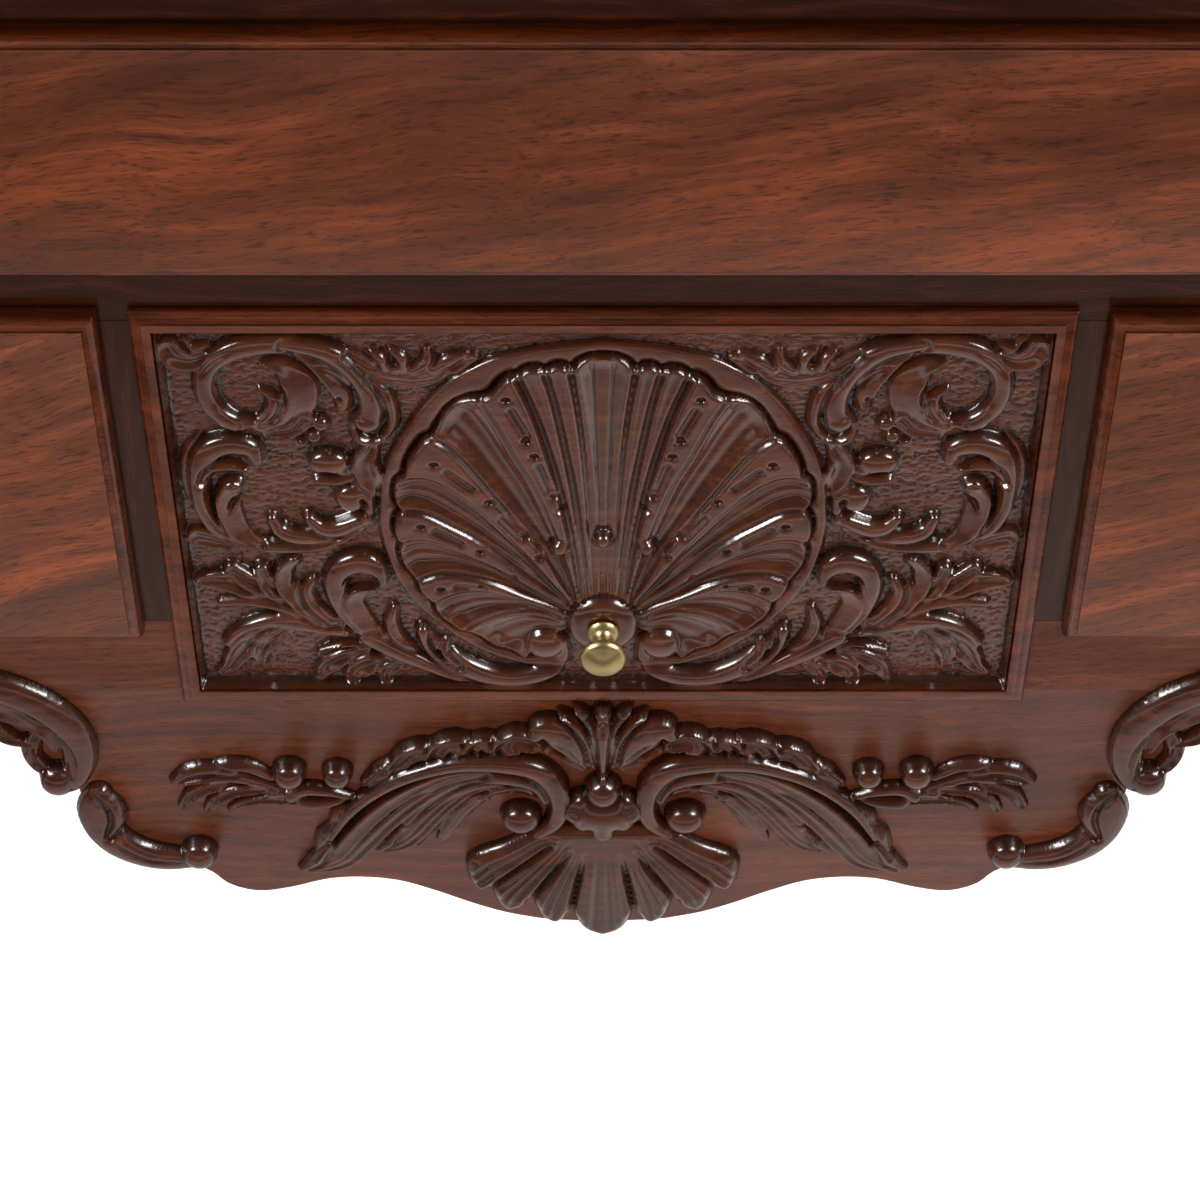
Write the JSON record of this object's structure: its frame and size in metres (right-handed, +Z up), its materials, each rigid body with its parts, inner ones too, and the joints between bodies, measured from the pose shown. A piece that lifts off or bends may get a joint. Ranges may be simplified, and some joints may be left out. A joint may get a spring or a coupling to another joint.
{
  "type": "lowboy",
  "caption": "Carved mahogany lowboy on cabriole legs with claw-and-ball feet: a long drawer over side drawers and a central shell drawer, with a scrolled, carved apron.",
  "frame": {"origin": "centre of the footprint, on the floor", "axes": "+X to the right along the front, -Y out of the drawer fronts, +Z up"},
  "size_m": [0.914, 0.541, 0.776],
  "materials": {
    "mahogany": "lacquered, satin gloss",
    "carved_mahogany": "dark stained and lacquered carving",
    "poplar": "bare secondary wood",
    "brass": "polished"
  },
  "bodies": {
    "case": {"top_board": "mahogany", "top_moulding": "mahogany", "front_top_rail": "mahogany", "front_middle_rail": "mahogany", "left_drawer_stile": "mahogany", "right_drawer_stile": "mahogany", "front_apron": "mahogany", "left_side_board": "mahogany", "right_side_board": "mahogany", "back_board": "poplar", "long_drawer_shelf": "poplar", "left_drawer_shelf": "poplar", "right_drawer_shelf": "poplar", "shell_drawer_shelf": "poplar", "front_left_leg": "mahogany", "front_right_leg": "mahogany", "back_left_leg": "mahogany", "back_right_leg": "mahogany", "left_quarter_column": "mahogany", "right_quarter_column": "mahogany", "apron_shell": "carved_mahogany", "apron_cartouche": "carved_mahogany", "left_apron_leafage": "carved_mahogany", "right_apron_leafage": "carved_mahogany", "left_apron_scroll": "carved_mahogany", "right_apron_scroll": "carved_mahogany"},
    "long_drawer": {"long_drawer_front": "mahogany", "long_drawer_left_side": "poplar", "long_drawer_right_side": "poplar", "long_drawer_back": "poplar", "long_drawer_bottom": "poplar", "long_left_pull_plate": "brass", "long_right_pull_plate": "brass"},
    "left_drawer": {"left_drawer_front": "mahogany", "left_drawer_left_side": "poplar", "left_drawer_right_side": "poplar", "left_drawer_back": "poplar", "left_drawer_bottom": "poplar", "left_pull_plate": "brass"},
    "right_drawer": {"right_drawer_front": "mahogany", "right_drawer_left_side": "poplar", "right_drawer_right_side": "poplar", "right_drawer_back": "poplar", "right_drawer_bottom": "poplar", "right_pull_plate": "brass"},
    "shell_drawer": {"shell_drawer_front": "mahogany", "shell_drawer_left_side": "poplar", "shell_drawer_right_side": "poplar", "shell_drawer_back": "poplar", "shell_drawer_bottom": "poplar", "carved_shell": "carved_mahogany", "left_shell_drawer_leafage": "carved_mahogany", "right_shell_drawer_leafage": "carved_mahogany", "shell_drawer_knob": "brass"},
    "long_left_bail": {"long_left_pull_bail": "brass"},
    "long_right_bail": {"long_right_pull_bail": "brass"},
    "left_bail": {"left_pull_bail": "brass"},
    "right_bail": {"right_pull_bail": "brass"}
  },
  "joints": [
    {"name": "long_drawer_slide", "type": "slide", "parent": "case", "child": "long_drawer", "axis": [0, -1, 0], "range_m": [0, 0.33]},
    {"name": "left_drawer_slide", "type": "slide", "parent": "case", "child": "left_drawer", "axis": [0, -1, 0], "range_m": [0, 0.33]},
    {"name": "right_drawer_slide", "type": "slide", "parent": "case", "child": "right_drawer", "axis": [0, -1, 0], "range_m": [0, 0.33]},
    {"name": "shell_drawer_slide", "type": "slide", "parent": "case", "child": "shell_drawer", "axis": [0, -1, 0], "range_m": [0, 0.33]},
    {"name": "long_left_bail_hinge", "type": "hinge", "parent": "long_drawer", "child": "long_left_bail", "pos_m": [-0.2734, -0.2663, 0.6901], "axis": [-1, 0, 0], "range_deg": [0, 85]},
    {"name": "long_right_bail_hinge", "type": "hinge", "parent": "long_drawer", "child": "long_right_bail", "pos_m": [0.2734, -0.2663, 0.6901], "axis": [-1, 0, 0], "range_deg": [0, 85]},
    {"name": "left_bail_hinge", "type": "hinge", "parent": "left_drawer", "child": "left_bail", "pos_m": [-0.2734, -0.2663, 0.54875], "axis": [-1, 0, 0], "range_deg": [0, 85]},
    {"name": "right_bail_hinge", "type": "hinge", "parent": "right_drawer", "child": "right_bail", "pos_m": [0.2734, -0.2663, 0.54875], "axis": [-1, 0, 0], "range_deg": [0, 85]}
  ]
}
